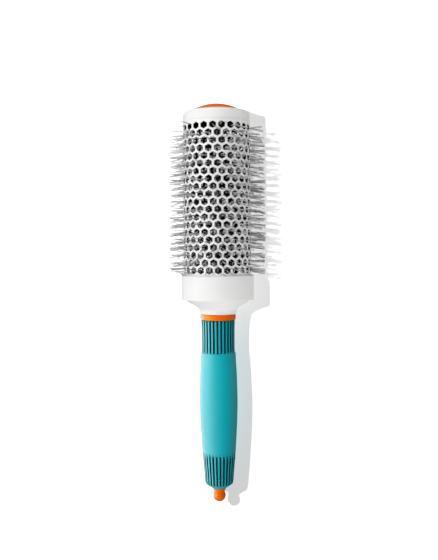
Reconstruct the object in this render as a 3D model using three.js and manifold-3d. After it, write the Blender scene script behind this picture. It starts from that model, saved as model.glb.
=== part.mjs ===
// A round barrel brush: a perforated metal barrel with rows of bristles, a white collar and a
// hollow handle with a soft grip, whose end holds a sectioning pick that pulls out.
//
// Sizes are in millimetres. Every piece is made around its own Z axis, which is the brush's axis:
// zero is halfway along the brush, the barrel is on the positive side and the handle on the
// negative side. The last lines lay the brush down along +X, resting on its bristle tips.
import * as THREE from "three";
import Module from "manifold-3d";
import { mergeGeometries, mergeVertices } from "three/addons/utils/BufferGeometryUtils.js";

const wasm = await Module();
wasm.setup();

// ---- Driving dimensions ----

const gap = 0.3; // between pieces that touch in the real brush

const barrelRadius = 22.5;
const barrelWall = 1.5;
const barrelStart = 8; // inside the collar
const barrelEnd = 119.3; // under the end cap

const rowCount = 20;
const holesPerRow = 24;
const firstRow = 115.15; // the row of holes next to the end cap
const rowSpacing = 4.905;
const holeTurn = 1.5; // degrees from straight up to the nearest hole of the even rows
const holeWidth = 2.72; // round the barrel: a little less than one of its flat facets
const holeLength = 3.9;

const tipRadius = 32.5;
const bristleTurn = 2.25; // degrees from a hole's middle to its bristle
const bristleRootRadius = 3.6;
const bristleThickness = 0.6;

const wireRadius = 1;
const wireOffset = 1.2; // from the brush's axis to each wire's centre
const wirePitch = 34;
const wireStart = -13.7;
const wireEnd = 122.5;
const socketRadius = 2.7; // takes the twisted pair of wires

const capRadius = 22.3;
const capFace = 126.35;
const capEdgeRadius = 1.8;
const capSpigotWall = 1.2;
const capPlateBottom = 122;
const capRecess = 124.9; // the dome stands in it
const capBossRadius = 4.6;
const domeRadius = 17.3;
const domeTop = 132;
const domeSphereRadius = 29;
const domeWall = 1.6;

const collarRadius = 24.1;
const collarTop = 18.4;
const collarBottom = -7.2;
const collarSeat = 7.6; // where the barrel's end stands
const collarSpigotTop = 16.6;
const collarSpigotWall = 1.3;

const ringRadius = 11.8;
const ringWidth = 3.6;
const noseRadius = 6.6; // the handle core's nose, which carries the ring and the collar

const gripTop = -11.4;
const gripEnd = -122.9;
const coreEnd = -117;
const coreSwellRadius = 11; // in the middle of the handle
const coreWall = 1;
const ribCount = 28;
const ribTurn = -2; // degrees from straight up to a groove of the ribs next to the collar
const grooveWidth = 1.2;
const grooveDepth = 1;

const pinRadius = 1.6;
const pinTip = -56;
const ballRadius = 4.2;
const brushEnd = -132;

// ---- Shape helpers ----

const degree = Math.PI / 180;

// Points of an arc as [radius, place along the axis], turning from one angle to the other.
// Zero degrees points away from the brush's axis and 90 degrees points along it.
function arc(radiusAt, alongAt, arcRadius, fromDegrees, toDegrees, steps) {
  return Array.from({ length: steps + 1 }, (_, i) => {
    const angle = (fromDegrees + ((toDegrees - fromDegrees) * i) / steps) * degree;
    return [radiusAt + arcRadius * Math.cos(angle), alongAt + arcRadius * Math.sin(angle)];
  });
}

// A body of revolution from an outline of [radius, place along the axis] points. The outline
// keeps the solid on its left, and either closes on itself or starts and ends on the axis.
function turned(outline, sides, startDegrees = 0) {
  const points = outline.map(([radius, along]) => new THREE.Vector2(radius, along));
  return new THREE.LatheGeometry(points, sides, startDegrees * degree).rotateX(Math.PI / 2);
}

function closed(outline) {
  return [...outline, outline[0]];
}

// A regular polygon's corners.
function polygon(radius, sides) {
  return Array.from({ length: sides }, (_, i) => {
    const angle = (i * 2 * Math.PI) / sides;
    return new THREE.Vector2(radius * Math.cos(angle), radius * Math.sin(angle));
  });
}

function solidFrom(geometry) {
  const bare = geometry.clone();
  bare.deleteAttribute("normal");
  bare.deleteAttribute("uv");
  const merged = mergeVertices(bare);
  const mesh = new wasm.Mesh({
    numProp: 3,
    vertProperties: merged.attributes.position.array,
    triVerts: new Uint32Array(merged.index.array),
  });
  return new wasm.Manifold(mesh);
}

// What is left of a geometry when others are cut from it.
function cut(geometry, cutters) {
  const mesh = solidFrom(geometry).subtract(solidFrom(mergeGeometries(cutters))).getMesh();
  return new THREE.BufferGeometry()
    .setAttribute("position", new THREE.BufferAttribute(mesh.vertProperties, 3))
    .setIndex(new THREE.BufferAttribute(mesh.triVerts, 1));
}

// ---- Barrel ----

// The angle of a row's first hole. Alternate rows are offset by half the spacing of the holes.
function rowAngle(row) {
  const halfSpacing = 180 / holesPerRow;
  return holeTurn + (row % 2 === 0 ? halfSpacing : 0);
}

function barrelTube() {
  const facets = 2 * holesPerRow;
  const outline = closed([
    [barrelRadius - barrelWall, barrelStart],
    [barrelRadius, barrelStart],
    [barrelRadius, barrelEnd],
    [barrelRadius - barrelWall, barrelEnd],
  ]);
  const holes = [];
  for (let row = 0; row < rowCount; row += 1) {
    for (let i = 0; i < holesPerRow; i += 1) {
      const angle = rowAngle(row) + (i * 360) / holesPerRow;
      const hole = new THREE.BoxGeometry(4 * barrelWall, holeWidth, holeLength);
      hole.translate(barrelRadius, 0, 0).rotateZ(angle * degree);
      holes.push(hole.translate(0, 0, firstRow - row * rowSpacing));
    }
  }
  // The facets start half a facet off, so that every hole is in the middle of one.
  return cut(turned(outline, facets, holeTurn - 90 - 180 / facets), holes);
}

// One row of bristles: a flat star around the wires, with one ray through each hole.
function bristleRow(row) {
  const halfSpacing = 180 / holesPerRow;
  const corners = [];
  for (let i = 0; i < holesPerRow; i += 1) {
    const tip = (rowAngle(row) + bristleTurn + 2 * i * halfSpacing) * degree;
    const root = tip + halfSpacing * degree;
    corners.push(new THREE.Vector2(tipRadius * Math.cos(tip), tipRadius * Math.sin(tip)));
    corners.push(
      new THREE.Vector2(bristleRootRadius * Math.cos(root), bristleRootRadius * Math.sin(root)),
    );
  }
  const star = new THREE.Shape(corners);
  star.holes.push(new THREE.Path(polygon(socketRadius + 0.2, 6)));
  const geometry = new THREE.ExtrudeGeometry(star, { depth: bristleThickness, bevelEnabled: false });
  return geometry.translate(0, 0, firstRow - row * rowSpacing - bristleThickness / 2);
}

class Helix extends THREE.Curve {
  constructor(startAngle) {
    super();
    this.startAngle = startAngle;
  }

  getPoint(t, target = new THREE.Vector3()) {
    const along = wireStart + t * (wireEnd - wireStart);
    const angle = this.startAngle + (2 * Math.PI * along) / wirePitch;
    return target.set(wireOffset * Math.cos(angle), wireOffset * Math.sin(angle), along);
  }
}

// One of the two wires that are twisted together and hold the bristles between them.
function stemWire(startAngle) {
  const stepsPerTurn = 8;
  return new THREE.ExtrudeGeometry(new THREE.Shape(polygon(wireRadius, 6)), {
    extrudePath: new Helix(startAngle),
    steps: Math.round((stepsPerTurn * (wireEnd - wireStart)) / wirePitch),
    bevelEnabled: false,
  });
}

// ---- End cap ----

function endCap() {
  const spigotRadius = barrelRadius - barrelWall - gap;
  const spigotStart = barrelEnd - 1.3;
  const bossStart = firstRow + 1;
  return turned(
    [
      [0, wireEnd + gap],
      [socketRadius, wireEnd + gap],
      [socketRadius, bossStart],
      [capBossRadius, bossStart],
      [capBossRadius, capPlateBottom],
      [spigotRadius - capSpigotWall, capPlateBottom],
      [spigotRadius - capSpigotWall, spigotStart],
      [spigotRadius, spigotStart],
      [spigotRadius, barrelEnd + gap],
      [capRadius, barrelEnd + gap],
      ...arc(capRadius - capEdgeRadius, capFace - capEdgeRadius, capEdgeRadius, 0, 90, 3),
      [domeRadius + gap, capFace],
      [domeRadius + gap, capRecess],
      [0, capRecess],
    ],
    40,
  );
}

// The coloured dome set into the end cap: a thin shell, open underneath.
function endCapDome() {
  const innerRadius = domeRadius - domeWall;
  const centre = domeTop - domeSphereRadius;
  const innerSphereRadius = domeSphereRadius - domeWall;
  const innerEdge = Math.acos(innerRadius / innerSphereRadius) / degree;
  const outerEdge = Math.acos(domeRadius / domeSphereRadius) / degree;
  return turned(
    [
      ...arc(0, centre, innerSphereRadius, 90, innerEdge, 2),
      [innerRadius, capRecess + gap],
      [domeRadius, capRecess + gap],
      ...arc(0, centre, domeSphereRadius, outerEdge, 90, 4),
    ],
    36,
  );
}

// ---- Collar and accent ring ----

// The white cup between barrel and handle: a groove for the barrel's end, a funnel below it,
// and a bore for the nose of the handle core.
function collar() {
  const boreRadius = noseRadius + gap;
  const spigotRadius = barrelRadius - barrelWall - gap;
  return turned(
    closed([
      [boreRadius, collarBottom],
      [12.4, collarBottom],
      [12.9, -4.9],
      [14.9, -2.2],
      [19.2, 0.5],
      [23.3, 2.1],
      [collarRadius, 3.2],
      [collarRadius, collarTop],
      [barrelRadius + gap, collarTop],
      [barrelRadius + gap, collarSeat],
      [spigotRadius, collarSeat],
      [spigotRadius, collarSpigotTop],
      [spigotRadius - collarSpigotWall, collarSpigotTop],
      [spigotRadius - collarSpigotWall, 3.4],
      [15.2, 0.6],
      [11.2, -2.6],
      [9, -2.6],
      [9, 3],
      [boreRadius, 3],
    ]),
    36,
  );
}

function accentRing() {
  const top = collarBottom - gap;
  const bottom = top - ringWidth;
  const chamfer = 0.35;
  return turned(
    closed([
      [noseRadius + gap, bottom],
      [ringRadius - chamfer, bottom],
      [ringRadius, bottom + chamfer],
      [ringRadius, top - chamfer],
      [ringRadius - chamfer, top],
      [noseRadius + gap, top],
    ]),
    ribCount,
  );
}

// ---- Handle ----

// The hollow stiff core, which follows the swell of the grip. Its solid end holds the wires.
function handleCore() {
  return turned(
    [
      [0, -16],
      [8.7 - coreWall, -16],
      [8.7 - coreWall, -35.6],
      [coreSwellRadius - coreWall, -46.3],
      [coreSwellRadius - coreWall, -79.8],
      [6.4, -99.4],
      [6.4, coreEnd],
      [7.7, coreEnd],
      [7.7, -99.2],
      [coreSwellRadius, -80],
      [coreSwellRadius, -46],
      [8.7, -35.2],
      [8.7, gripTop - gap],
      [noseRadius, gripTop - gap],
      [noseRadius, 3.3],
      [socketRadius, 3.3],
      [socketRadius, wireStart - gap],
      [0, wireStart - gap],
    ],
    20,
  );
}

// Cutters for the grooves between the ribs, from one place along the grip to another.
function ribGrooves(floorRadius, turn, from, to) {
  const height = 4;
  return Array.from({ length: ribCount }, (_, i) =>
    new THREE.BoxGeometry(height, grooveWidth, to - from)
      .translate(floorRadius + height / 2, 0, (from + to) / 2)
      .rotateZ((turn + (i * 360) / ribCount) * degree),
  );
}

// The soft sleeve over the core: ribbed at both ends, smooth in the middle, with a coned end.
// The ribs at its two ends are half a rib out of line with each other.
function gripSleeve() {
  const swellBore = coreSwellRadius + gap;
  const outline = closed([
    [3.4, gripEnd],
    [4.5, gripEnd],
    [7.3, -121.1],
    [9.2, -119.2],
    [9.95, -110],
    [10.75, -102],
    [11.85, -86],
    [12.55, -68],
    [12.2, -46],
    [11.5, -33.4],
    [10.95, -33],
    [10.75, -21],
    [11.2, gripTop],
    [9, gripTop],
    [9, -35.2],
    [swellBore, -46],
    [swellBore, -80],
    [8, -99.2],
    [8, coreEnd - gap],
    [3.4, coreEnd - gap],
  ]);
  const lowerTurn = ribTurn + 180 / ribCount;
  const grooves = [
    ...ribGrooves(10.75 - grooveDepth, ribTurn, -32.6, gripTop + 1),
    ...ribGrooves(9.95 - grooveDepth, lowerTurn, -119.9, -100.5),
  ];
  return cut(turned(outline, ribCount, ribTurn + 90 / ribCount - 90), grooves);
}

// ---- Sectioning pick ----

// The plug in the core's open end that the pick slides in, with a seat for the friction ring.
function pickGuideBush() {
  const boreRadius = pinRadius + gap;
  return turned(
    closed([
      [boreRadius, -115.3],
      [3.2, -115.3],
      [3.2, coreEnd],
      [6.1, coreEnd],
      [6.1, -104],
      [boreRadius, -104],
    ]),
    16,
  );
}

// The rubber ring that grips the pick, so that it stays where it is put.
function pickFrictionRing() {
  const sectionRadius = 0.5;
  const centreRadius = pinRadius + gap + sectionRadius;
  return new THREE.TorusGeometry(centreRadius, sectionRadius, 6, 16).translate(0, 0, -116.2);
}

// The ball-ended pick, moulded in one piece: the knob that shows and the pin inside the handle.
function sectioningPick() {
  const ballCentre = brushEnd + ballRadius;
  const waistRadius = 3.1;
  const waistAngle = Math.acos(waistRadius / ballRadius) / degree;
  return turned(
    [
      ...arc(0, ballCentre, ballRadius, -90, waistAngle, 8),
      [waistRadius, -125],
      [3.8, -124.6],
      [4.1, -124],
      [4.1, gripEnd - gap],
      [pinRadius, gripEnd - gap],
      [pinRadius, -90],
      [0.9, pinTip - 1],
      [0, pinTip],
    ],
    16,
  );
}

// ---- Assembly ----

const materials = {
  ceramicCoat: { color: 0xf4f4f3, roughness: 0.45, metalness: 0.3 },
  whitePlastic: { color: 0xf6f6f5, roughness: 0.35, metalness: 0 },
  orangePlastic: { color: 0xe06a12, roughness: 0.25, metalness: 0 },
  tealRubber: { color: 0x00808a, roughness: 0.6, metalness: 0 },
  corePlastic: { color: 0x26292b, roughness: 0.6, metalness: 0 },
  blackRubber: { color: 0x1a1a1a, roughness: 0.85, metalness: 0 },
  bristleNylon: { color: 0xd8d8d6, roughness: 0.4, metalness: 0 },
  steel: { color: 0xb4b6b8, roughness: 0.35, metalness: 0.9 },
};

const brush = new THREE.Group();

function add(name, geometry, material) {
  const mesh = new THREE.Mesh(geometry, new THREE.MeshStandardMaterial(materials[material]));
  mesh.name = name;
  brush.add(mesh);
}

add("barrel_tube", barrelTube(), "ceramicCoat");
add("end_cap", endCap(), "whitePlastic");
add("end_cap_dome", endCapDome(), "orangePlastic");
add("stem_wire_a", stemWire(0), "steel");
add("stem_wire_b", stemWire(Math.PI), "steel");
for (let row = 0; row < rowCount; row += 1) {
  add(`bristle_row_${String(row + 1).padStart(2, "0")}`, bristleRow(row), "bristleNylon");
}
add("collar", collar(), "whitePlastic");
add("accent_ring", accentRing(), "orangePlastic");
add("handle_core", handleCore(), "corePlastic");
add("grip_sleeve", gripSleeve(), "tealRubber");
add("pick_guide_bush", pickGuideBush(), "corePlastic");
add("pick_friction_ring", pickFrictionRing(), "blackRubber");
add("sectioning_pick", sectioningPick(), "orangePlastic");

// Lay the brush along +X. It rests on the tips of two rays, one from the even rows and one from
// the odd rows, which are equally far from straight down.
const restTurn = (holeTurn + bristleTurn) * degree;
brush.rotation.y = Math.PI / 2;
brush.position.z = tipRadius * Math.cos(restTurn);

const part = new THREE.Group();
part.add(brush);
export default part;
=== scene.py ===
"""The visible round barrel brush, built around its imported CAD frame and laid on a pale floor.

The brush lies along X with its axis level, its end cap towards +X and the pick's ball towards -X.
A place along the brush is its X. Lengths are in metres, except where a comment says millimetres.
"""

import math
import random

import bmesh
import bpy
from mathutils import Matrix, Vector


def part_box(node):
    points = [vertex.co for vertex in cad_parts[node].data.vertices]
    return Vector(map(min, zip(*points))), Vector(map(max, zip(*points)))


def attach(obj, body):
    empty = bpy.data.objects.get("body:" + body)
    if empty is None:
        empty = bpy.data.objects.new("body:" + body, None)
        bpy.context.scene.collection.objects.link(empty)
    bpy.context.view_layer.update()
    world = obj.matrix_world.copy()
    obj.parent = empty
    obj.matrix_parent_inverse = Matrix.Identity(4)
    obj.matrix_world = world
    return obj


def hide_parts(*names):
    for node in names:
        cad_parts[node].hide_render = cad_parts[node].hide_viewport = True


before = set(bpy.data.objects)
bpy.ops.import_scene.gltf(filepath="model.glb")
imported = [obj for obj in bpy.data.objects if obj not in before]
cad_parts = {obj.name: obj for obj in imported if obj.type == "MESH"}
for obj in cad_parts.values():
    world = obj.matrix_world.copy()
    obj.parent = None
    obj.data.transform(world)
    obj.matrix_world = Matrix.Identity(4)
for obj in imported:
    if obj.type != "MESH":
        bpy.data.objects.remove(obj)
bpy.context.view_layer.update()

MM = 0.001
random.seed(45)


# ---- The frame's sizes ----

def span(node):
    """Where a round CAD node starts and ends along the brush, and its largest radius."""
    low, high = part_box(node)
    return low.x, high.x, (high.y - low.y) / 2


TUBE_START, TUBE_END, TUBE_RADIUS = span("barrel_tube")
CAP_START, CAP_FACE, CAP_RADIUS = span("end_cap")
DOME_BASE, DOME_TOP, DOME_RADIUS = span("end_cap_dome")
COLLAR_BOTTOM, COLLAR_TOP, COLLAR_RADIUS = span("collar")
RING_BOTTOM, RING_TOP, RING_RADIUS = span("accent_ring")
GRIP_END, GRIP_TOP, _ = span("grip_sleeve")
PICK_END, PICK_TIP, BALL_RADIUS = span("sectioning_pick")
WIRE_START, WIRE_END, WIRE_SPREAD = span("stem_wire_a")
FIRST_ROW = sum(span("bristle_row_01")[:2]) / 2
LAST_ROW = sum(span("bristle_row_20")[:2]) / 2
TIP_RADIUS = span("bristle_row_01")[2]
AXIS_HEIGHT = sum(corner.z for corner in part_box("barrel_tube")) / 2

ROWS = 20
HOLES_PER_ROW = 24
ROW_SPACING = (FIRST_ROW - LAST_ROW) / (ROWS - 1)
HOLE_TURN = math.radians(1.5)  # from straight up to a hole of every second row
HOLE_SPACING = 2 * math.pi / HOLES_PER_ROW


def on_axis(along, radius, angle):
    """A point beside the brush's axis. Angle zero is straight up, and it grows towards -Y."""
    return Vector((along, -radius * math.sin(angle), AXIS_HEIGHT + radius * math.cos(angle)))


# ---- What the lights are linked to ----

FLOOR = bpy.data.collections.new("floor_only")
BRUSH = bpy.data.collections.new("brush_only")
WHITES = bpy.data.collections.new("white_parts_only")
COLOURS = bpy.data.collections.new("coloured_parts_only")


# ---- Materials ----

class Shader:
    """A material, with helpers that add nodes and join them to its Principled shader."""

    def __init__(self, name, **values):
        self.material = bpy.data.materials.new(name)
        self.material.use_nodes = True
        self.nodes = self.material.node_tree.nodes
        self.links = self.material.node_tree.links
        self.principled = self.nodes["Principled BSDF"]
        for socket, value in values.items():
            self.principled.inputs[socket.replace("_", " ")].default_value = value
        self.coordinates = self.nodes.new("ShaderNodeTexCoord").outputs["Object"]

    def add(self, kind, inputs=(), **settings):
        """A new node. An input is joined if it is another node's socket, and set if it is a value."""
        node = self.nodes.new(kind)
        for setting, value in settings.items():
            setattr(node, setting, value)
        for socket, value in dict(inputs).items():
            if isinstance(value, bpy.types.NodeSocket):
                self.links.new(value, node.inputs[socket])
            else:
                node.inputs[socket].default_value = value
        return node

    def noise(self, scale, detail=3.0, roughness=0.5):
        inputs = {"Vector": self.coordinates, "Scale": scale, "Detail": detail, "Roughness": roughness}
        return self.add("ShaderNodeTexNoise", inputs).outputs["Fac"]

    def between(self, factor, low, high, from_low=0.3, from_high=0.7):
        """A number that goes from low to high as the factor does."""
        inputs = {"Value": factor, "From Min": from_low, "From Max": from_high,
                  "To Min": low, "To Max": high}
        return self.add("ShaderNodeMapRange", inputs).outputs["Result"]

    def colours(self, factor, first, second):
        """A colour that goes from the first to the second as the factor does."""
        mix = self.add("ShaderNodeMix", {"Factor": factor}, data_type="RGBA")
        ends = [socket for socket in mix.inputs if socket.type == "RGBA"]
        for socket, colour in zip(ends, (first, second)):
            if isinstance(colour, bpy.types.NodeSocket):
                self.links.new(colour, socket)
            else:
                socket.default_value = (*colour, 1.0)
        return next(socket for socket in mix.outputs if socket.type == "RGBA")

    def bump(self, height, distance, strength=1.0):
        inputs = {"Height": height, "Distance": distance, "Strength": strength}
        node = self.add("ShaderNodeBump", inputs)
        self.links.new(node.outputs["Normal"], self.principled.inputs["Normal"])

    def set(self, socket, value):
        """Joins another node's socket to one of the Principled shader's."""
        self.links.new(value, self.principled.inputs[socket])


def moulded_plastic(name, light, dark, roughness, grain=0.00001, **values):
    """Plastic from a smooth mould: slightly uneven in colour and gloss, with a faint ripple."""
    shader = Shader(name, **values)
    broad = shader.noise(60.0)
    shader.set("Base Color", shader.colours(shader.between(broad, 0.0, 1.0), dark, light))
    fine = shader.noise(900.0, detail=4.0)
    shader.set("Roughness", shader.between(fine, roughness * 0.85, roughness * 1.15))
    shader.bump(shader.noise(350.0, detail=2.0), grain)
    return shader.material


def ceramic_coat():
    """The barrel's white coat, with a fine orange-peel surface."""
    shader = Shader("ceramic_coat", IOR=1.5, Specular_IOR_Level=0.3)
    cloud = shader.noise(120.0)
    tone = shader.colours(shader.between(cloud, 0.0, 1.0), (0.72, 0.72, 0.715), (0.77, 0.77, 0.765))
    shader.set("Base Color", tone)
    shader.set("Roughness", shader.between(shader.noise(1500.0), 0.30, 0.45))
    shader.bump(shader.noise(2500.0, detail=2.0), 0.00002)
    return shader.material


def soft_grip(name, dark, light):
    """Rubber with a fine matt texture."""
    shader = Shader(name, IOR=1.5)
    cloud = shader.noise(40.0)
    shader.set("Base Color", shader.colours(shader.between(cloud, 0.0, 1.0), dark, light))
    shader.set("Roughness", shader.between(shader.noise(1200.0), 0.42, 0.58))
    shader.bump(shader.noise(6000.0, detail=2.0), 0.00003, 0.5)
    return shader.material


def nylon():
    """Filaments in random greys out in the open. In the holes they are painted near-white or near-black at
    random, as painted light and shade. Inside the barrel they are painted near-black, as painted shade.
    """
    shader = Shader("nylon", IOR=1.53, Specular_IOR_Level=0.3)
    apart = shader.add("ShaderNodeSeparateXYZ", {"Vector": shader.coordinates}).outputs
    height = shader.add("ShaderNodeMath", {0: apart["Z"], 1: AXIS_HEIGHT}, operation="SUBTRACT").outputs[0]
    across = shader.add("ShaderNodeCombineXYZ", {"X": apart["Y"], "Y": height}).outputs[0]
    radius = shader.add("ShaderNodeVectorMath", {0: across}, operation="LENGTH").outputs["Value"]
    strand = shader.add("ShaderNodeNewGeometry").outputs["Random Per Island"]
    open_air = shader.colours(strand, (0.22, 0.22, 0.22), (0.70, 0.70, 0.70))
    # Painted light and shade: strands in the holes are painted near-white or near-black at random. This
    # stands for light through the nylon and for the unlit bore.
    painted_lit_strand = shader.between(strand, 0.0, 1.0, 0.55, 0.80)
    in_hole = shader.colours(painted_lit_strand, (0.02, 0.02, 0.02), (0.92, 0.92, 0.92))
    clear = shader.between(radius, 0.0, 1.0, TUBE_RADIUS - 0.2 * MM, TUBE_RADIUS + 0.6 * MM)
    outside = shader.colours(clear, in_hole, open_air)
    # Painted shade: strands deeper than the wall fade to near-black, for the unlit inside of the barrel.
    inside = shader.between(radius, 1.0, 0.0, TUBE_RADIUS - 1.6 * MM, TUBE_RADIUS - 0.8 * MM)
    shader.set("Base Color", shader.colours(inside, outside, (0.004, 0.004, 0.004)))
    shader.set("Roughness", shader.between(shader.noise(2000.0), 0.25, 0.4))
    return shader.material


def steel():
    """Dull drawn wire."""
    shader = Shader("drawn_steel", Metallic=1.0)
    shader.set("Base Color", shader.colours(shader.noise(800.0), (0.20, 0.20, 0.21), (0.34, 0.34, 0.35)))
    shader.set("Roughness", shader.between(shader.noise(3000.0), 0.3, 0.5))
    return shader.material


WHITE_PLASTIC = moulded_plastic("white_plastic", (0.745, 0.745, 0.74), (0.71, 0.71, 0.705), 0.45,
                                IOR=1.5, Specular_IOR_Level=0.2)
ORANGE_PLASTIC = moulded_plastic("orange_plastic", (0.92, 0.145, 0.003), (0.86, 0.125, 0.002), 0.36,
                                 IOR=1.5, Specular_IOR_Level=0.8, Specular_Tint=(1.0, 0.72, 0.06, 1.0))
CORE_PLASTIC = moulded_plastic("core_plastic", (0.030, 0.032, 0.034), (0.022, 0.024, 0.026), 0.6)
RING_RUBBER = moulded_plastic("ring_rubber", (0.012, 0.012, 0.012), (0.008, 0.008, 0.008), 0.7)
# Painted shade: near-black for the unlit bore of the tube, the deep flanks of its holes and the inside of
# the end cap.
PAINTED_SHADE_BORE = moulded_plastic("painted_shade_bore", (0.010, 0.010, 0.010), (0.006, 0.006, 0.006), 0.6)
CERAMIC_COAT = ceramic_coat()
SOFT_GRIP = soft_grip("soft_grip", (0.0005, 0.37, 0.42), (0.001, 0.40, 0.46))
# Painted shade: a darker teal for the groove floors, where shade falls between the ribs.
GRIP_GROOVE_SHADE = soft_grip("grip_groove_painted_shade", (0.0002, 0.025, 0.033), (0.0003, 0.04, 0.05))
NYLON = nylon()
STEEL = steel()


# ---- Mesh helpers ----

def add_piece(name, mesh, body, slot, nodes, *materials):
    """Makes a mesh a piece of the brush that rides on a body and stands for CAD nodes."""
    piece = bpy.data.objects.new(name, mesh)
    bpy.context.scene.collection.objects.link(piece)
    for material in materials:
        mesh.materials.append(material)
    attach(piece, body)
    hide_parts(*nodes)
    BRUSH.objects.link(piece)
    if slot in ("barrel_coat", "white_plastic"):
        WHITES.objects.link(piece)
    elif slot != "bristle_nylon":
        COLOURS.objects.link(piece)
    return piece


def finished_mesh(name, bm, sharp_degrees=35):
    """A smooth-shaded mesh from a bmesh, facing out, with creases at its sharp corners."""
    bmesh.ops.recalc_face_normals(bm, faces=bm.faces)
    mesh = bpy.data.meshes.new(name)
    bm.to_mesh(mesh)
    bm.free()
    mesh.shade_smooth()
    mesh.set_sharp_from_angle(angle=math.radians(sharp_degrees))
    return mesh


def rounded(corners, steps=6):
    """An outline's (along, radius) points, from (along, radius, rounding) corners."""
    points = []
    for i, (along, radius, rounding) in enumerate(corners):
        corner = Vector((along, radius))
        if rounding == 0 or i in (0, len(corners) - 1):
            points.append(corner)
            continue
        back = Vector(corners[i - 1][:2]) - corner
        on = Vector(corners[i + 1][:2]) - corner
        reach = rounding / math.tan(back.angle(on) / 2)
        start = corner + back.normalized() * min(reach, 0.49 * back.length)
        end = corner + on.normalized() * min(reach, 0.49 * on.length)
        for step in range(steps + 1):
            t = step / steps
            points.append((1 - t) ** 2 * start + 2 * t * (1 - t) * corner + t ** 2 * end)
    return points


def lathe(name, outline, sides=128, closed=False):
    """A mesh turned about the brush's axis from an outline of (along, radius) points."""
    least_radius = 0.001 * MM
    bm = bmesh.new()
    rings = []
    for along, radius in outline:
        if radius < least_radius:
            rings.append([bm.verts.new(on_axis(along, 0, 0))])
        else:
            angles = (2 * math.pi * i / sides for i in range(sides))
            rings.append([bm.verts.new(on_axis(along, radius, angle)) for angle in angles])
    if closed:
        rings.append(rings[0])
    for first, second in zip(rings, rings[1:]):
        for i in range(sides):
            j = (i + 1) % sides
            corners = [first[i % len(first)], first[j % len(first)],
                       second[j % len(second)], second[i % len(second)]]
            bm.faces.new(dict.fromkeys(corners))
    return finished_mesh(name, bm)


def curve_through(points, steps):
    """Points of a smooth curve through the given ones."""
    padded = [2 * points[0] - points[1], *points, 2 * points[-1] - points[-2]]
    curve = []
    for i in range(len(points) - 1):
        a, b, c, d = padded[i:i + 4]
        for step in range(steps):
            t = step / steps
            curve.append(0.5 * (2 * b + t * (c - a) + t * t * (2 * a - 5 * b + 4 * c - d)
                                + t ** 3 * (3 * b - a - 3 * c + d)))
    curve.append(points[-1])
    return curve


def bridge(bm, first, second):
    """Faces between two rings of corners."""
    for k in range(len(first)):
        n = (k + 1) % len(first)
        bm.faces.new((first[k], first[n], second[n], second[k]))


def from_axis(point):
    """How far a point is from the brush's axis."""
    return math.hypot(point.y, point.z - AXIS_HEIGHT)


def add_tube(bm, path, radii, sides):
    """A closed tube along a path, with its own radius at each point."""
    rings = []
    side = (path[1] - path[0]).orthogonal().normalized()
    for i, point in enumerate(path):
        ahead = (path[min(i + 1, len(path) - 1)] - path[max(i - 1, 0)]).normalized()
        side = (side - ahead * side.dot(ahead)).normalized()
        other = ahead.cross(side)
        angles = [2 * math.pi * k / sides for k in range(sides)]
        rings.append([bm.verts.new(point + radii[i] * (side * math.cos(a) + other * math.sin(a)))
                      for a in angles])
    for first, second in zip(rings, rings[1:]):
        bridge(bm, first, second)
    bm.faces.new(reversed(rings[0]))
    bm.faces.new(rings[-1])


# ---- Barrel ----

HOLE_ACROSS = 4.38 * MM
HOLE_LENGTH = 4.76 * MM
TUBE_WALL = 1.0 * MM
TUBE_INSIDE = TUBE_RADIUS - TUBE_WALL
RIM_ROUNDING = 0.14 * MM
DEPTH_BEFORE_PAINTED_SHADE = 0.4 * MM  # how far into a hole the white reaches before the bore's painted shade begins


def row_angle(row):
    return HOLE_TURN + (HOLE_SPACING / 2 if row % 2 == 0 else 0)


def row_place(row):
    return FIRST_ROW - row * ROW_SPACING


def hexagon(width, length, side_length):
    """Corners of a six-sided shape that points along the brush, as (along, across)."""
    half, side = width / 2, side_length / 2
    return [(length / 2, 0), (side, half), (-side, half), (-length / 2, 0), (-side, -half), (side, -half)]


def ring_of(bm, shape, radius, along, angle):
    """A shape's corners laid round the axis at a radius."""
    return [bm.verts.new(on_axis(along + a, radius, angle + across / TUBE_RADIUS)) for a, across in shape]


def add_hole(bm, along, angle):
    """One cell of the honeycomb: outer face, rounded rim of the hole, the hole's flanks and inner face."""
    cell = hexagon(HOLE_SPACING * TUBE_RADIUS, ROW_SPACING * 4 / 3, ROW_SPACING * 2 / 3)

    def rim(widening):
        return hexagon(HOLE_ACROSS + widening, HOLE_LENGTH + widening, HOLE_LENGTH / 2)

    loops = [
        (cell, TUBE_RADIUS),
        (rim(2 * RIM_ROUNDING), TUBE_RADIUS),
        (rim(0.6 * RIM_ROUNDING), TUBE_RADIUS - 0.3 * RIM_ROUNDING),
        (rim(0), TUBE_RADIUS - RIM_ROUNDING),
        (rim(0), TUBE_RADIUS - DEPTH_BEFORE_PAINTED_SHADE),
        (rim(0), TUBE_INSIDE),
        (cell, TUBE_INSIDE),
    ]
    rings = [ring_of(bm, shape, radius, along, angle) for shape, radius in loops]
    for first, second in zip(rings, rings[1:]):
        bridge(bm, first, second)


def add_end_band(bm, row, end, toward):
    """The plain band between the outermost cells and an end of the tube, outside and inside."""
    peak = row_place(row) + toward * ROW_SPACING * 2 / 3
    side = row_place(row) + toward * ROW_SPACING / 3
    angles = [row_angle(row) + k * HOLE_SPACING / 2 for k in range(2 * HOLES_PER_ROW)]
    rims = []
    for radius in (TUBE_RADIUS, TUBE_INSIDE):
        edge = [bm.verts.new(on_axis(side if k % 2 else peak, radius, a)) for k, a in enumerate(angles)]
        rims.append([bm.verts.new(on_axis(end, radius, a)) for a in angles])
        bridge(bm, edge, rims[-1])
    bridge(bm, *rims)


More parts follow.
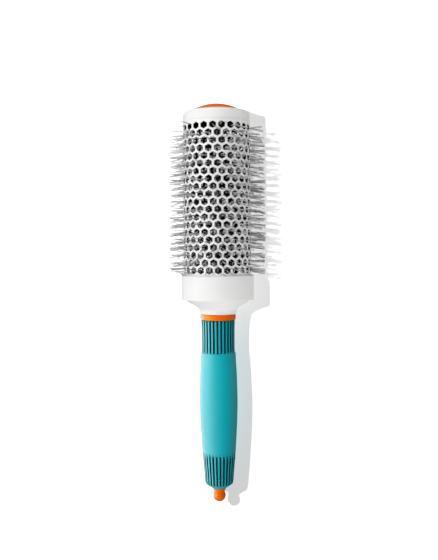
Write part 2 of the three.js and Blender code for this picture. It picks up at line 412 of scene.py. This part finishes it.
def barrel_shell():
    """The tube as a honeycomb: each hole has a six-sided cell round it, and the cells meet."""
    bm = bmesh.new()
    for row in range(ROWS):
        for i in range(HOLES_PER_ROW):
            add_hole(bm, row_place(row), row_angle(row) + i * HOLE_SPACING)
    add_end_band(bm, 0, TUBE_END, 1)
    add_end_band(bm, ROWS - 1, TUBE_START, -1)
    bmesh.ops.remove_doubles(bm, verts=bm.verts, dist=0.001 * MM)
    mesh = finished_mesh("barrel_shell", bm)
    # Faces deep in the holes and on the inner face take the bore's painted shade.
    for face in mesh.polygons:
        if from_axis(face.center) < TUBE_RADIUS - DEPTH_BEFORE_PAINTED_SHADE - RIM_ROUNDING:
            face.material_index = 1
    return mesh


# ---- Bristles ----

FILAMENT_RADIUS = 0.165 * MM
TUFTS_PER_HOLE = (1, 1, 2, 2, 2, 3)  # what a hole holds is drawn from these
TUFTS_AT_CAP = (0, 0, 1, 1)  # and what a hole next to the end cap holds
FILAMENTS_PER_TUFT = 3
FILAMENT_SIDES = 4
PATH_STEPS = 2  # between the given points of a tuft's path
STEPS_TO_WALL = 3 * PATH_STEPS


def tuft_path(row, hole):
    """The middle line of a tuft: from the wires, up under the wall, through its hole and straight out."""
    wall = TUBE_RADIUS - TUBE_WALL / 2
    along = row_place(row)
    lean = random.gauss(0, 4.0) * MM
    swing = random.gauss(0, 0.25)
    under_along = along + random.gauss(0, 1.9) * MM
    under_angle = hole + random.gauss(0, 1.9) * MM / TUBE_RADIUS
    out_along = along + random.uniform(-1.5, 1.5) * MM
    out_angle = hole + random.uniform(-1.3, 1.3) * MM / TUBE_RADIUS
    tip = TIP_RADIUS * random.uniform(0.975, 0.995)
    tip_along = out_along - 1.0 * MM + random.gauss(0, 0.9) * MM
    tip_angle = out_angle + random.gauss(0, 0.7) * MM / TUBE_RADIUS
    clear = 1.3 * MM
    way = clear / (tip - wall)
    clear_along = out_along + way * (tip_along - out_along)
    clear_angle = out_angle + way * (tip_angle - out_angle)
    return curve_through([
        on_axis(along + 1.4 * lean, 2.6 * MM, hole + 2.5 * swing),
        on_axis(along + lean, 12 * MM, hole + swing),
        on_axis(under_along, 19.6 * MM, under_angle),
        on_axis(out_along, wall, out_angle),
        on_axis(clear_along, wall + clear, clear_angle),
        on_axis(tip_along, tip, tip_angle),
    ], PATH_STEPS)


def add_filament(bm, path, hole):
    """A filament beside a tuft's middle line. Beyond the wall it parts from the others."""
    turn = random.uniform(0, 2 * math.pi)
    across = math.sin(turn)
    aside = Vector((math.cos(turn), across * math.cos(hole), across * math.sin(hole)))
    fan = random.uniform(0.25, 0.55) * MM
    thickness = FILAMENT_RADIUS * random.uniform(0.85, 1.15)
    steps = len(path) - 1
    strand = []
    for k, point in enumerate(path):
        beyond_wall = max(0, k - STEPS_TO_WALL) / (steps - STEPS_TO_WALL)
        strand.append(point + (0.10 * MM + fan * beyond_wall) * aside)
    add_tube(bm, strand, [thickness] * steps + [0.85 * thickness], FILAMENT_SIDES)


def tuft_row(row):
    """The filaments of one row of holes."""
    bm = bmesh.new()
    tufts_in_hole = TUFTS_PER_HOLE if row > 0 else TUFTS_AT_CAP
    for i in range(HOLES_PER_ROW):
        hole = row_angle(row) + i * HOLE_SPACING
        for _ in range(random.choice(tufts_in_hole)):
            path = tuft_path(row, hole)
            for _ in range(FILAMENTS_PER_TUFT):
                add_filament(bm, path, hole)
    return finished_mesh(f"tufts_{row + 1:02d}", bm, sharp_degrees=100)


# ---- Twisted wires ----

WIRE_RADIUS = 1.0 * MM
WIRE_PITCH = 34 * MM
WIRE_STEPS = 120


def twisted_wire(name, turn):
    """One of the two wires that wind round each other along the axis."""
    start = WIRE_START + 0.1 * MM
    length = WIRE_END - 0.1 * MM - start
    path = []
    for i in range(WIRE_STEPS + 1):
        along = start + length * i / WIRE_STEPS
        path.append(on_axis(along, WIRE_SPREAD - WIRE_RADIUS, turn + 2 * math.pi * along / WIRE_PITCH))
    bm = bmesh.new()
    add_tube(bm, path, [WIRE_RADIUS] * len(path), 12)
    return finished_mesh(name, bm, sharp_degrees=60)


# ---- End cap and dome ----

CAP_PLATE = 4.3 * MM  # from the cap's face to its underside
SPIGOT_RADIUS = TUBE_INSIDE - 0.1 * MM  # the spigot reaches into the tube
SPIGOT_WALL = 1.3 * MM
SPIGOT_LENGTH = 1.6 * MM
BOSS_RADIUS = 4.6 * MM
SOCKET_RADIUS = 2.4 * MM  # of the hole in the boss, for the wires' end
SOCKET_DEPTH = 4 * MM
DOME_SPHERE = 33 * MM
DOME_WALL = 1.6 * MM


def end_cap():
    """The cap, with a spigot in the tube and a boss on the wires. Its inside is painted near-black, as
    painted shade.
    """
    skirt = TUBE_END + 0.05 * MM
    underside = CAP_FACE - CAP_PLATE
    recess = DOME_RADIUS + 0.35 * MM
    recess_floor = DOME_BASE - 0.1 * MM
    mesh = lathe("end_cap_shell", rounded([
        (CAP_START + SOCKET_DEPTH, 0, 0),
        (CAP_START + SOCKET_DEPTH, SOCKET_RADIUS, 0.1 * MM),
        (CAP_START, SOCKET_RADIUS, 0.2 * MM),
        (CAP_START, BOSS_RADIUS, 0.4 * MM),
        (underside, BOSS_RADIUS, 0.8 * MM),
        (underside, SPIGOT_RADIUS - SPIGOT_WALL, 0.8 * MM),
        (skirt - SPIGOT_LENGTH, SPIGOT_RADIUS - SPIGOT_WALL, 0.2 * MM),
        (skirt - SPIGOT_LENGTH, SPIGOT_RADIUS, 0.3 * MM),
        (skirt, SPIGOT_RADIUS, 0.1 * MM),
        (skirt, CAP_RADIUS, 0.12 * MM),
        (CAP_FACE, CAP_RADIUS, 1.9 * MM),
        (CAP_FACE, recess, 0.3 * MM),
        (recess_floor, recess, 0.1 * MM),
        (recess_floor, 0, 0),
    ]))
    # Faces inside the spigot take the bore's painted shade.
    for face in mesh.polygons:
        if from_axis(face.center) < SPIGOT_RADIUS + 0.2 * MM and face.center.x < underside + 0.3 * MM:
            face.material_index = 1
    return mesh


def dome_insert():
    """A thin domed shell with a short upright rim, open underneath."""
    centre = DOME_TOP - DOME_SPHERE
    steps = 24

    def from_top(sphere, rim_radius):
        """An arc from the axis out to the rim."""
        reach = math.asin(rim_radius / sphere)
        angles = [reach * i / steps for i in range(steps + 1)]
        return [(centre + sphere * math.cos(a), sphere * math.sin(a)) for a in angles]

    outer = from_top(DOME_SPHERE, DOME_RADIUS)
    inner = from_top(DOME_SPHERE - DOME_WALL, DOME_RADIUS - DOME_WALL)
    edge = outer[-1][0]
    rim = rounded([(DOME_BASE, DOME_RADIUS, 0), (edge, DOME_RADIUS, 0.5 * MM), (*outer[-3], 0)])
    return lathe("dome_insert", [*inner, (DOME_BASE, DOME_RADIUS - DOME_WALL), *rim[:-1], *outer[-3::-1]])


# ---- Collar and accent ring ----

CORE_BORE = 6.8 * MM  # in the collar and in the ring, for the handle's core
NECK_RADIUS = 12.4 * MM
CUP_STOP = 7.6 * MM  # just short of the tube's end
SLEEVE_END = 16.6 * MM  # of the sleeve that reaches into the tube
SLEEVE_RADIUS = TUBE_INSIDE - 0.3 * MM
SLEEVE_INSIDE = TUBE_INSIDE - 1.6 * MM
FUNNEL_TOP = 3.4 * MM  # inside
FUNNEL_FLOOR = -2.0 * MM
CORE_BOSS_RADIUS = 9.0 * MM  # round the core, above the funnel's floor
CORE_BOSS_TOP = 3.0 * MM


def collar_cup():
    """A cup on the barrel's end that narrows in a concave funnel to the handle's width."""
    rim_inside = TUBE_RADIUS + 0.25 * MM
    return lathe("collar_cup", rounded([
        (COLLAR_BOTTOM, CORE_BORE, 0),
        (COLLAR_BOTTOM, NECK_RADIUS - 0.05 * MM, 0.25 * MM),
        (-3.7 * MM, NECK_RADIUS, 6.0 * MM),
        (1.7 * MM, 21.3 * MM, 0.5 * MM),
        (2.1 * MM, 22.6 * MM, 0.5 * MM),
        (2.3 * MM, COLLAR_RADIUS, 1.1 * MM),
        (COLLAR_TOP, COLLAR_RADIUS, 0.45 * MM),
        (COLLAR_TOP, rim_inside, 0.2 * MM),
        (CUP_STOP, rim_inside, 0.2 * MM),
        (CUP_STOP, SLEEVE_RADIUS, 0.2 * MM),
        (SLEEVE_END, SLEEVE_RADIUS, 0.4 * MM),
        (SLEEVE_END, SLEEVE_INSIDE, 0.4 * MM),
        (FUNNEL_TOP, SLEEVE_INSIDE, 1.0 * MM),
        (FUNNEL_FLOOR, NECK_RADIUS - 1.0 * MM, 1.5 * MM),
        (FUNNEL_FLOOR, CORE_BOSS_RADIUS, 0.5 * MM),
        (CORE_BOSS_TOP, CORE_BOSS_RADIUS, 0.3 * MM),
        (CORE_BOSS_TOP, CORE_BORE, 0),
    ], steps=8), closed=True)


def accent_band():
    """The ring between collar and grip, very slightly crowned."""
    edge_radius = RING_RADIUS - 0.1 * MM
    return lathe("accent_band", rounded([
        (RING_BOTTOM, CORE_BORE, 0),
        (RING_BOTTOM, edge_radius, 0.5 * MM),
        ((RING_BOTTOM + RING_TOP) / 2, RING_RADIUS + 0.05 * MM, 3 * MM),
        (RING_TOP, edge_radius, 0.5 * MM),
        (RING_TOP, CORE_BORE, 0),
    ]), closed=True)


# ---- Grip ----

RIBS = 28
GROOVE_DEPTH = 1.35 * MM
UPPER_TURN = math.radians(-2)  # from straight up to a groove of the ribs next to the ring
GROOVE_EDGE = (0.19, 0.27)  # parts of a rib's spacing from a groove's middle: its floor's edge and its lip
# Where the sleeve has an edge along it, in parts of a rib's spacing: closest on the grooves' walls.
ACROSS_RIB = (0, 0.1, 0.19, 0.23, 0.27, 0.31, 0.4, 0.5, 0.6, 0.69, 0.73, 0.77, 0.81, 0.9)
CUT_DEPTH = 0.225  # the part of a groove's depth from which a face counts as the groove's, with its painted shade
PICK_HOLE = 3.4 * MM
GRIP_BORE = 9.0 * MM  # at the ring
LEDGE = -32.9 * MM  # where the swelling ends and the upper ribs begin
UPPER_RIBS = -32.1 * MM  # their end next to the ledge
UPPER_RADIUS = 10.95 * MM
CONE_TOP = (-117.6, 9.43)
SWELL_TOP = (-33.5, 11.5)
SWELL = [  # (along, radius) in millimetres
    (-119.2, 9.2), CONE_TOP, (-113.0, 9.76), (-108.0, 10.2), (-100.0, 10.9), (-90.0, 11.58),
    (-80.0, 12.18), (-68.0, 12.55), (-56.0, 12.45), (-46.0, 12.15), (-38.0, 11.72), SWELL_TOP,
]
SWELL_STEPS = 6


def in_metres(place):
    return Vector(place) * MM


def smoothstep(low, high, value):
    """Goes from 0 to 1 as the value goes from low to high."""
    t = min(max((value - low) / (high - low), 0.0), 1.0)
    return t * t * (3 - 2 * t)


def groove(along, turn):
    """How deep the sleeve is cut, 0 to 1, at a place along it and a part of a rib's spacing round it.

    The grooves next to the ring lie at the start of each spacing, and those near the ball in its middle.
    """
    upper = smoothstep(-32.75 * MM, -32.15 * MM, along)
    lower = smoothstep(-119.9 * MM, -119.2 * MM, along) - smoothstep(-100.35 * MM, -99.75 * MM, along)
    from_groove = abs(turn - 0.5) if lower > 0 else min(turn, 1 - turn)
    return max(upper, lower) * (1 - smoothstep(*GROOVE_EDGE, from_groove))


def grip_outside():
    """The sleeve's outline over the ribs, from the hole for the pick to the ring."""
    outline = rounded([
        (GRIP_END, PICK_HOLE, 0),
        (GRIP_END, 4.5 * MM, 0.3 * MM),
        (-120.9 * MM, 7.4 * MM, 3 * MM),
        (-119.6 * MM, 9.15 * MM, 1.0 * MM),
        (*in_metres(CONE_TOP), 0),
    ], steps=7)
    outline += curve_through([in_metres(place) for place in SWELL], SWELL_STEPS)[SWELL_STEPS + 1:]
    outline += rounded([
        (*in_metres(SWELL_TOP), 0),
        (LEDGE, 11.45 * MM, 0.35 * MM),
        (LEDGE, UPPER_RADIUS, 0.2 * MM),
        (LEDGE + 0.8 * MM, UPPER_RADIUS - 0.02 * MM, 0),
    ])[1:]
    step = 0.6 * MM
    for i in range(1, 34):
        dip = 0.17 * MM * math.sin(math.pi * i * step / (21 * MM))
        outline.append(Vector((UPPER_RIBS + i * step, UPPER_RADIUS + 0.012 * i * step - dip)))
    outline += rounded([(*outline[-1], 0), (GRIP_TOP, 11.15 * MM, 0.35 * MM), (GRIP_TOP, GRIP_BORE, 0)])[1:]
    return outline


def grip_inside():
    """The sleeve's outline along the core, from near the ring back to the hole for the pick."""
    end = -117.3 * MM
    swell = [(-46, 11.3), (-80, 11.3), (-99.2, 8.0)]  # (along, radius) in millimetres
    return [Vector((-35.2 * MM, GRIP_BORE)), *(in_metres(place) for place in swell),
            Vector((end, 8.0 * MM)), Vector((end, PICK_HOLE))]


def grip_skin():
    """The sleeve: grooves between ribs at both ends, a smooth swelling in the middle."""
    columns = [(rib, turn) for rib in range(RIBS) for turn in ACROSS_RIB]
    angles = [UPPER_TURN + 2 * math.pi * (rib + turn) / RIBS for rib, turn in columns]
    cone = -110 * MM
    bm = bmesh.new()
    rings = []
    cuts = []
    for along, radius in grip_outside():
        at_bore = along > cone and radius < GRIP_BORE + 0.01 * MM
        cut = [0 if at_bore else groove(along, turn) for _, turn in columns]
        cuts.append(cut)
        rings.append([bm.verts.new(on_axis(along, max(radius - GROOVE_DEPTH * depth, PICK_HOLE), angle))
                      for depth, angle in zip(cut, angles)])
    for along, radius in grip_inside():
        cuts.append([0] * len(columns))
        rings.append([bm.verts.new(on_axis(along, radius, angle)) for angle in angles])
    rings.append(rings[0])
    cuts.append(cuts[0])
    for k, (first, second) in enumerate(zip(rings, rings[1:])):
        for i in range(len(columns)):
            j = (i + 1) % len(columns)
            face = bm.faces.new((first[i], first[j], second[j], second[i]))
            depth = (cuts[k][i] + cuts[k][j] + cuts[k + 1][i] + cuts[k + 1][j]) / 4
            # Faces deep in a groove take the grooves' painted shade.
            if depth > CUT_DEPTH:
                face.material_index = 1
    return finished_mesh("grip_skin", bm, sharp_degrees=40)


# ---- Sectioning pick ----

WAIST_RADIUS = 3.1 * MM
FLARE_RADIUS = 4.15 * MM
PIN_RADIUS = 1.6 * MM


def ball_pick():
    """The ball, its waisted neck and the pin inside the handle, in one moulding."""
    centre = PICK_END + BALL_RADIUS
    waist_angle = math.acos(WAIST_RADIUS / BALL_RADIUS)
    steps = 32
    ball = [(PICK_END, 0.0)]
    for i in range(1, steps + 1):
        angle = -math.pi / 2 + (waist_angle + math.pi / 2) * i / steps
        ball.append((centre + BALL_RADIUS * math.sin(angle), BALL_RADIUS * math.cos(angle)))
    top = GRIP_END - 0.25 * MM
    neck = rounded([
        (*ball[-4], 0),
        (ball[-1][0], WAIST_RADIUS - 0.15 * MM, 0.4 * MM),
        (top - 1.4 * MM, FLARE_RADIUS - 0.3 * MM, 0.3 * MM),
        (top, FLARE_RADIUS, 0.15 * MM),
        (top, PIN_RADIUS, 0.2 * MM),
        (-90 * MM, PIN_RADIUS, 10 * MM),
        (PICK_TIP - 1 * MM, 0.9 * MM, 0.8 * MM),
        (PICK_TIP, 0, 0),
    ])
    return lathe("ball_pick", ball[:-4] + neck, sides=96)


# ---- Stage, lights and camera ----

FLOOR_SIDE = 18
WALL_RADIUS = 8
WALL_HEIGHT = 16
SURROUNDING_LIGHT = 0.08


def floor():
    bpy.ops.mesh.primitive_plane_add(size=FLOOR_SIDE)
    plane = bpy.context.object
    plane.name = "floor"
    shader = Shader("pale_floor", Roughness=0.9)
    shader.set("Base Color", shader.colours(shader.noise(3.0), (0.90, 0.90, 0.90), (0.92, 0.92, 0.92)))
    plane.data.materials.append(shader.material)
    plane.visible_glossy = False
    FLOOR.objects.link(plane)


def backdrop():
    """A pale wall far round the brush. It is only seen: it lights nothing and is reflected in nothing."""
    bpy.ops.mesh.primitive_cylinder_add(vertices=96, radius=WALL_RADIUS, depth=WALL_HEIGHT,
                                        end_fill_type="NOTHING")
    wall = bpy.context.object
    wall.name = "backdrop"
    shader = Shader("pale_wall", Base_Color=(0, 0, 0, 1), Emission_Strength=1.0, Roughness=1.0)
    shader.set("Emission Color", shader.colours(shader.noise(0.5), (0.56, 0.56, 0.56), (0.60, 0.60, 0.60)))
    wall.data.materials.append(shader.material)
    wall.visible_diffuse = False
    wall.visible_glossy = False
    wall.visible_shadow = False


def surroundings():
    """A little white light from all round."""
    world = bpy.data.worlds.new("studio")
    bpy.context.scene.world = world
    world.use_nodes = True
    background = world.node_tree.nodes["Background"]
    background.inputs["Color"].default_value = (1, 1, 1, 1)
    background.inputs["Strength"].default_value = SURROUNDING_LIGHT


def add_light(name, kind, energy, place, target, lit, blocked_by, **settings):
    """A light aimed at a point. It lights one collection only, and is blocked by one only."""
    data = bpy.data.lights.new(name, kind)
    data.energy = energy
    for setting, value in settings.items():
        setattr(data, setting, value)
    light = bpy.data.objects.new(name, data)
    light.location = place
    light.rotation_mode = "QUATERNION"
    light.rotation_quaternion = (target - light.location).to_track_quat("-Z", "Y")
    light.light_linking.receiver_collection = lit
    light.light_linking.blocker_collection = blocked_by
    bpy.context.scene.collection.objects.link(light)
    return light


def lights():
    """A key beside the camera, softboxes round the brush, and lights of its own for the floor.

    Left and right are the camera's.
    """
    middle = Vector((0, 0, AXIS_HEIGHT))
    beside_camera = Vector((0.084, 0.151, 0.522))
    lamp_radius = 10 * MM
    key = add_light("key", "POINT", 6.2, beside_camera, middle, BRUSH, BRUSH, shadow_soft_size=lamp_radius)
    key.visible_glossy = False
    add_light("floor_key", "POINT", 11.0, beside_camera, middle, FLOOR, BRUSH, shadow_soft_size=lamp_radius)
    add_light("floor_fill", "SUN", 1.88, Vector((0, 0, 1)), Vector((0, 0, 0)), FLOOR, FLOOR)
    softboxes = (  # name, watts, place, size, what it lights
        ("left_softbox", 4.9, (-0.45, 0.48, 0.60), (0.9, 0.6), BRUSH),
        ("right_softbox", 5.6, (-0.5, -0.72, -0.06), (0.9, 0.4), WHITES),
        ("end_softbox", 2.4, (0.75, 0.05, 0.36), (0.5, 0.5), BRUSH),
    )
    for name, energy, place, (size, size_y), lit in softboxes:
        box = add_light(name, "AREA", energy, Vector(place), middle, lit, BRUSH,
                        shape="RECTANGLE", size=size, size_y=size_y)
        box.visible_glossy = False
    glow = add_light("left_glow", "AREA", 66.0, Vector((-0.05, 1.18, -0.18)), middle, COLOURS, BRUSH,
                     shape="RECTANGLE", size=1.6, size_y=3.2)
    glow.visible_diffuse = False


def camera():
    """Straight down on the brush from over the barrel's lower half, with the end cap at the top."""
    data = bpy.data.cameras.new("camera")
    data.sensor_width = 36
    data.lens = 47.32
    data.shift_y = -0.0561
    view = bpy.data.objects.new("camera", data)
    view.location = (36 * MM, -1.08 * MM, AXIS_HEIGHT + 490 * MM)
    view.rotation_euler = (0, 0, math.radians(-90.5))
    bpy.context.scene.collection.objects.link(view)
    bpy.context.scene.camera = view
    bpy.context.scene.view_settings.view_transform = "Standard"


# ---- Assembly ----

camera()
lights()
floor()
backdrop()
surroundings()

add_piece("barrel_shell", barrel_shell(), "brush", "barrel_coat", ["barrel_tube"], CERAMIC_COAT, PAINTED_SHADE_BORE)
for row in range(ROWS):
    node = f"bristle_row_{row + 1:02d}"
    add_piece(f"tufts_{row + 1:02d}", tuft_row(row), "brush", "bristle_nylon", [node], NYLON)
for letter, turn in (("a", 0), ("b", math.pi)):
    name = f"twisted_wire_{letter}"
    add_piece(name, twisted_wire(name, turn), "brush", "steel_wire", [f"stem_wire_{letter}"], STEEL)
add_piece("end_cap_shell", end_cap(), "brush", "white_plastic", ["end_cap"], WHITE_PLASTIC, PAINTED_SHADE_BORE)
add_piece("dome_insert", dome_insert(), "brush", "orange_plastic", ["end_cap_dome"], ORANGE_PLASTIC)
add_piece("collar_cup", collar_cup(), "brush", "white_plastic", ["collar"], WHITE_PLASTIC)
add_piece("accent_band", accent_band(), "brush", "orange_plastic", ["accent_ring"], ORANGE_PLASTIC)
add_piece("grip_skin", grip_skin(), "brush", "grip_rubber", ["grip_sleeve"], SOFT_GRIP, GRIP_GROOVE_SHADE)
add_piece("ball_pick", ball_pick(), "pick", "orange_plastic", ["sectioning_pick"], ORANGE_PLASTIC)
for node, material in (("handle_core", CORE_PLASTIC), ("pick_guide_bush", CORE_PLASTIC),
                       ("pick_friction_ring", RING_RUBBER)):
    BRUSH.objects.link(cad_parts[node])
    for material_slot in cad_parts[node].material_slots:
        material_slot.material = material
